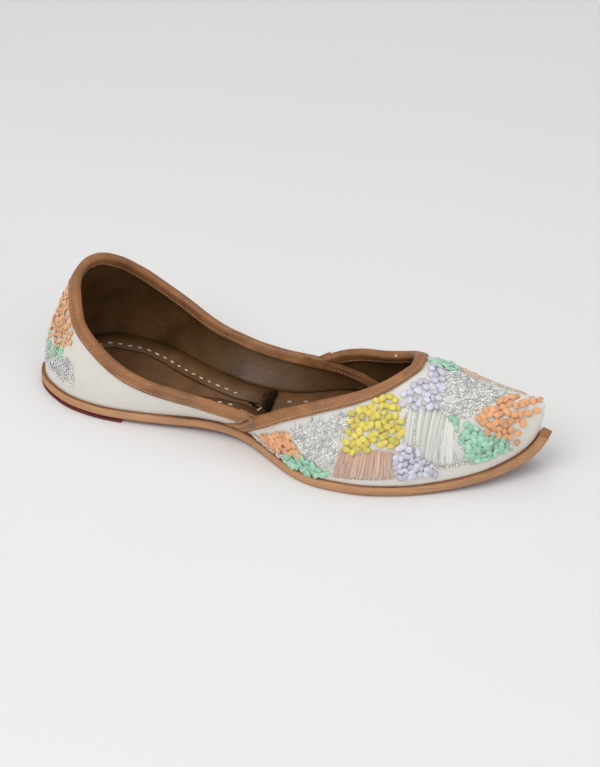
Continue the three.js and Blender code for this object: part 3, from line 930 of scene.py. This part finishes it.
class BuildHeelMargin(MojariOperator):
    """Build the stitched margin round the heel of the insole, and the insole's stitches"""

    bl_idname = "mojari.build_heel_margin"
    bl_label = "Heel margin"

    def execute(self, context):
        size = context.scene.mojari
        top = quads_of("insole")
        bmesh.ops.delete(top, geom=[face for face in top.faces if face.normal.z < TOP], context="FACES")
        bmesh.ops.bisect_plane(
            top,
            geom=top.verts[:] + top.edges[:] + top.faces[:],
            plane_co=(MARGIN_FRONT, 0, 0),
            plane_no=(1, 0, 0),
            clear_outer=True,
        )
        bmesh.ops.dissolve_faces(top, faces=top.faces[:])
        rim = bmesh.ops.inset_region(
            top, faces=top.faces[:], thickness=size.margin, use_boundary=True, use_even_offset=True
        )
        ring = set(rim["faces"])
        bmesh.ops.delete(top, geom=[face for face in top.faces if face not in ring], context="FACES")
        bmesh.ops.translate(top, vec=(0, 0, MARGIN_LIFT), verts=top.verts)
        bmesh.ops.solidify(top, geom=top.faces[:], thickness=-size.margin_thickness)
        bmesh.ops.recalc_face_normals(top, faces=top.faces)
        tint = shade(tuple(size.insole), 1.1)
        brown = leather("margin_brown", tint, light=1.4, dark=0.7, roughness=0.4, worn=0.2)
        piece("heel_margin", top, [brown])
        self.sew(size)
        return {"FINISHED"}

    def sew(self, size):
        low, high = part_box("insole")
        sock = BVHTree.FromObject(bpy.data.objects["sock"], bpy.context.evaluated_depsgraph_get())
        above = high[2] + SEEK
        edge = self.outline()
        rows = (
            {"inset": 9 * MM, "from": low[0], "to": ROW_BREAK, "lift": size.margin_thickness, "gap": 1},
            {"inset": 6.5 * MM, "from": ROW_BREAK, "to": ROW_END, "lift": 0.0, "gap": 1.5},
        )
        places, draw = [], random.Random(5)
        for row in rows:
            for side in edge:
                for spot, ahead in spaced(self.row_line(row, side, edge), row["gap"] * size.coarse_pitch):
                    hit, normal = sock.ray_cast(Vector((spot.x, spot.y, above)), DOWN)[:2]
                    if hit is None:
                        continue
                    reach = size.coarse_stitch * draw.uniform(0.85, 1.15)
                    turned = Matrix.Rotation(draw.uniform(-0.14, 0.14), 3, "Z") @ ahead
                    lift = row["lift"] + STITCH_LIFT
                    pose = facing(hit, normal, turned, reach, 1.15 * MM, 0.9 * MM, lift)
                    places.append((pose, draw.random()))
        hit, normal = sock.ray_cast(Vector((-11 * MM, -4.5 * MM, SEEK)), DOWN)[:2]
        lift = size.margin_thickness + STITCH_LIFT
        pose = facing(hit, normal, Vector((0.28, 1, 0)), 5.5 * MM, 1.3 * MM, 0.9 * MM, lift)
        places.append((pose, 0.9))
        cream = thread("cream_thread", (0.72, 0.62, 0.46), 0.5)
        laid("insole_stitches", template(stitch_shape), places, cream)

    def row_line(self, row, side, edge):
        """A row's line along one side of the insole, kept clear of the other side."""
        line = []
        for before, spot, after in zip(side, side[1:], side[2:]):
            out = Vector((after.y - before.y, before.x - after.x, 0)).normalized()
            point = spot - out * row["inset"]
            clear = min((point - other).length for other in edge[0] + edge[1])
            if row["from"] <= point.x <= row["to"] and clear > row["inset"] - 0.4 * MM:
                line.append(point)
        return line

    def outline(self):
        """The insole's edge as two lines, each turned so that its outside is on the right."""
        made = quads_of("insole")
        rim = [
            vert.co.copy()
            for vert in made.verts
            if any(face.normal.z > TOP for face in vert.link_faces)
            and any(abs(face.normal.z) < TOP for face in vert.link_faces)
        ]
        made.free()
        stations = {}
        for spot in rim:
            stations.setdefault(round(spot.x / RIM_STATION), []).append(spot.y)

        def middle(spot):
            near = stations[round(spot.x / RIM_STATION)]
            return sum(near) / len(near)

        lateral = sorted((spot for spot in rim if spot.y < middle(spot)), key=lambda spot: spot.x)
        medial = sorted((spot for spot in rim if spot.y >= middle(spot)), key=lambda spot: -spot.x)
        return lateral, medial


class BuildChips(MojariOperator):
    """Sew the ribbon chips on the vamp and the back"""

    bl_idname = "mojari.build_chips"
    bl_label = "Ribbon chips"

    def execute(self, context):
        shell = Surface(bpy.data.objects["shell"])
        shape = template(chip_shape)
        for number, (name, (tint, spacing, outline)) in enumerate(CHIP_PATCHES.items()):
            hits = filled(outline, shell.vamp, spacing, random.Random(number), 1, PER_DEGREE)
            self.sew(name, shape, tint, hits)
        heel = filled(HEEL_CHIPS, shell.heel, 2.9, random.Random(30), PER_DEGREE, 1)
        self.sew("chips_peach_heel", shape, shade(PEACH, 1.08), heel, 0.8)
        heel = filled(HEEL_MINT, shell.heel, 2.9, random.Random(31), PER_DEGREE, 1)
        self.sew("chips_mint_heel", shape, MINT, heel, 0.7)
        return {"FINISHED"}

    def sew(self, name, shape, tint, hits, scale=1.0):
        draw = random.Random(name)
        places = []
        for hit, normal in hits:
            turn = draw.uniform(0, 2 * math.pi)
            tilt = draw.uniform(-0.42, 0.42)
            roll = draw.uniform(-0.3, 0.3)
            size = scale * draw.uniform(0.85, 1.15)
            lift = scale * draw.uniform(0.35, 0.95) * MM
            places.append((standing(hit, normal, turn, lift, tilt, roll, size), draw.random()))
        if not places:
            raise RuntimeError(f"{name} has no chips")
        laid(name, shape, places, ribbon_chip(name + "_ribbon", tint))


class BuildBeads(MojariOperator):
    """Sew the bugle beads, the seed beads and the ring sequins"""

    bl_idname = "mojari.build_beads"
    bl_label = "Beads"

    def execute(self, context):
        size = context.scene.mojari
        shell = Surface(bpy.data.objects["shell"])
        bugle, seed, ring = template(bugle_shape), template(seed_shape), template(ring_shape)
        glass = glass_bead("silver_glass", SILVER)
        for number, (name, (tint, spacing, outline)) in enumerate(BEAD_PATCHES.items()):
            draw = random.Random(40 + number)
            places = []
            for hit, normal in filled(outline, shell.vamp, spacing, draw, 1, PER_DEGREE):
                turn = draw.choice((0.35, 1.15, -0.5, 1.9)) + draw.uniform(-0.35, 0.35)
                pose = standing(hit, normal, turn, 0.45 * size.bugle_width, draw.uniform(-0.2, 0.2))
                places.append((pose, draw.random()))
            laid(name, bugle, places, glass)
        pearl = glass_bead("pearl_glass", (0.8, 0.77, 0.66))
        for number, (name, line) in enumerate(SEED_LINES.items()):
            draw = random.Random(60 + number)
            hits = [shell.vamp(*along_line(line, step / LINE_SHARES)) for step in range(LINE_SHARES + 1)]
            points = [hit for hit, _ in hits if hit is not None]
            places = []
            for spot, _ in spaced(points, 1.15 * size.seed_width):
                hit, normal = shell.tree.find_nearest(spot)[:2]
                turn, scale = draw.uniform(0, 6), draw.uniform(0.9, 1.15)
                pose = standing(hit, normal, turn, 0.35 * size.seed_width, scale=scale)
                places.append((pose, draw.random()))
            laid(name, seed, places, pearl)
        self.rings(shell, ring)
        return {"FINISHED"}

    def rings(self, shell, ring):
        white = glass_bead("ring_white", (0.88, 0.88, 0.9))
        draw = random.Random(80)
        hits = filled(HEEL_RINGS, shell.heel, 3.4, draw, PER_DEGREE, 1)
        places = []
        for hit, normal in hits:
            tilt, roll = draw.uniform(-0.25, 0.25), draw.uniform(-0.25, 0.25)
            places.append((standing(hit, normal, 0, 0.5 * MM, tilt, roll), draw.random()))
        laid("rings_heel", ring, places, white)
        places = []
        for step in range(EAR_RING_COUNT):
            for row in (0, 2.2):
                along, degrees = along_line(EAR_RINGS, step / (EAR_RING_COUNT - 1))
                along_by, degrees_by = draw.uniform(-0.4, 0.4), draw.uniform(-0.8, 0.8)
                hit, normal = shell.vamp(along + along_by, degrees + row + degrees_by)
                if hit is not None:
                    tilt, roll = draw.uniform(-0.5, 0.5), draw.uniform(-0.5, 0.5)
                    places.append((standing(hit, normal, 0, 0.6 * MM, tilt, roll, 0.72), draw.random()))
        laid("rings_ear", ring, places, white)


class BuildThreads(MojariOperator):
    """Lay the satin threads and the ribbon of the vamp"""

    bl_idname = "mojari.build_threads"
    bl_label = "Threads"

    def execute(self, context):
        shell = Surface(bpy.data.objects["shell"])
        shape = template(strand_shape)
        for number, (name, (tint, first, second, count, width)) in enumerate(THREAD_PATCHES.items()):
            draw = random.Random(100 + number)
            places = []
            for strand in range(count):
                share = (strand + draw.uniform(0.2, 0.8)) / count
                start = along_line(first, share)
                end = along_line(second, min(1, max(0, share + draw.uniform(-0.03, 0.03))))
                path = []
                for step in range(STRAND_PLACES):
                    blend = step / (STRAND_PLACES - 1)
                    spot = shell.vamp(*(a + (b - a) * blend for a, b in zip(start, end)))
                    if spot[0] is not None:
                        path.append(spot)
                if len(path) > 4:
                    lift = draw.uniform(0.15, 0.5) * MM
                    strand_width = width * draw.uniform(0.8, 1.25) * MM
                    places.append((self.bent(path, strand_width, lift), draw.random()))
            if not places:
                raise RuntimeError(f"{name} has no strands")
            laid(name, shape, places, thread(name + "_silk", tint, 0.26))
        return {"FINISHED"}

    def bent(self, path, width, lift):
        """Bends a unit strand onto a path of hits."""
        last = len(path) - 1

        def move(point):
            run = min(max(point.x, 0), 1) * last
            i = min(int(run), last - 1)
            spot = path[i][0].lerp(path[i + 1][0], run - i)
            normal = path[i][1].lerp(path[i + 1][1], run - i).normalized()
            ahead = (path[i + 1][0] - path[i][0]).normalized()
            side = normal.cross(ahead)
            taper = 1 - 0.35 * abs(2 * point.x - 1) ** 3
            return spot + side * point.y * width * taper + normal * (lift + point.z * min(width, 0.7 * MM))

        return move


class SetStage(MojariOperator):
    """Set the floor, the light and the camera"""

    bl_idname = "mojari.set_stage"
    bl_label = "Stage"

    def execute(self, context):
        floor = bmesh.new()
        bmesh.ops.create_grid(floor, x_segments=1, y_segments=1, size=FLOOR_REACH)
        mesh = bpy.data.meshes.new("floor")
        floor.to_mesh(mesh)
        floor.free()
        ground = bpy.data.objects.new("floor", mesh)
        context.scene.collection.objects.link(ground)
        paper = Finish("paper_white", Roughness=0.9, Specular_IOR_Level=0.1)
        paper.feed("Base Color", paper.blend(paper.noise(3), (0.9, 0.9, 0.9), (0.93, 0.93, 0.93)))
        mesh.materials.append(paper.material)
        for name, (place, size, power) in LIGHTS.items():
            self.light(context, name, place, size, power)
        world = bpy.data.worlds.new("studio")
        context.scene.world = world
        world.use_nodes = True
        world.node_tree.nodes["Background"].inputs["Color"].default_value = (1, 1, 1, 1)
        world.node_tree.nodes["Background"].inputs["Strength"].default_value = SKY
        context.scene.view_settings.view_transform = "Standard"
        self.camera(context)
        return {"FINISHED"}

    def light(self, context, name, place, size, power):
        lamp = bpy.data.lights.new(name, "AREA")
        lamp.shape = "DISK"
        lamp.size = size
        lamp.energy = power
        made = bpy.data.objects.new(name, lamp)
        made.location = place
        made.rotation_euler = Vector(place).to_track_quat("Z", "Y").to_euler()
        context.scene.collection.objects.link(made)

    def camera(self, context):
        level = math.cos(CAMERA_ELEVATION)
        ahead, aside = level * math.sin(CAMERA_AZIMUTH), -level * math.cos(CAMERA_AZIMUTH)
        back = Vector((ahead, aside, math.sin(CAMERA_ELEVATION)))
        view = bpy.data.cameras.new("camera")
        view.sensor_fit = "HORIZONTAL"
        view.sensor_width = 36
        view.lens = CAMERA_LENS
        view.shift_x, view.shift_y = CAMERA_SHIFT
        made = bpy.data.objects.new("camera", view)
        made.location = back * CAMERA_DISTANCE
        made.rotation_euler = back.to_track_quat("Z", "Y").to_euler()
        context.scene.collection.objects.link(made)
        context.scene.camera = made


class MojariPanel(bpy.types.Panel):
    """Sizes, colours and building steps of the shoe"""

    bl_idname = "VIEW3D_PT_mojari"
    bl_label = "Mojari"
    bl_space_type = "VIEW_3D"
    bl_region_type = "UI"
    bl_category = "Mojari"

    def draw(self, context):
        for name in MojariSizes.__annotations__:
            self.layout.prop(context.scene.mojari, name)
        for step in STEPS:
            self.layout.operator(step.bl_idname)


STEPS = (
    SetStage,
    BuildSole,
    BuildUpper,
    BuildBindings,
    BuildBindingStitches,
    BuildHeelMargin,
    BuildChips,
    BuildBeads,
    BuildThreads,
)
CLASSES = (MojariSizes, *STEPS, MojariPanel)


def register():
    for one in CLASSES:
        bpy.utils.register_class(one)
    bpy.types.Scene.mojari = bpy.props.PointerProperty(type=MojariSizes)


def unregister():
    del bpy.types.Scene.mojari
    for one in reversed(CLASSES):
        bpy.utils.unregister_class(one)


def main():
    register()
    for step in STEPS:
        group, name = step.bl_idname.split(".")
        getattr(getattr(bpy.ops, group), name)()


if __name__ == "__main__":
    main()
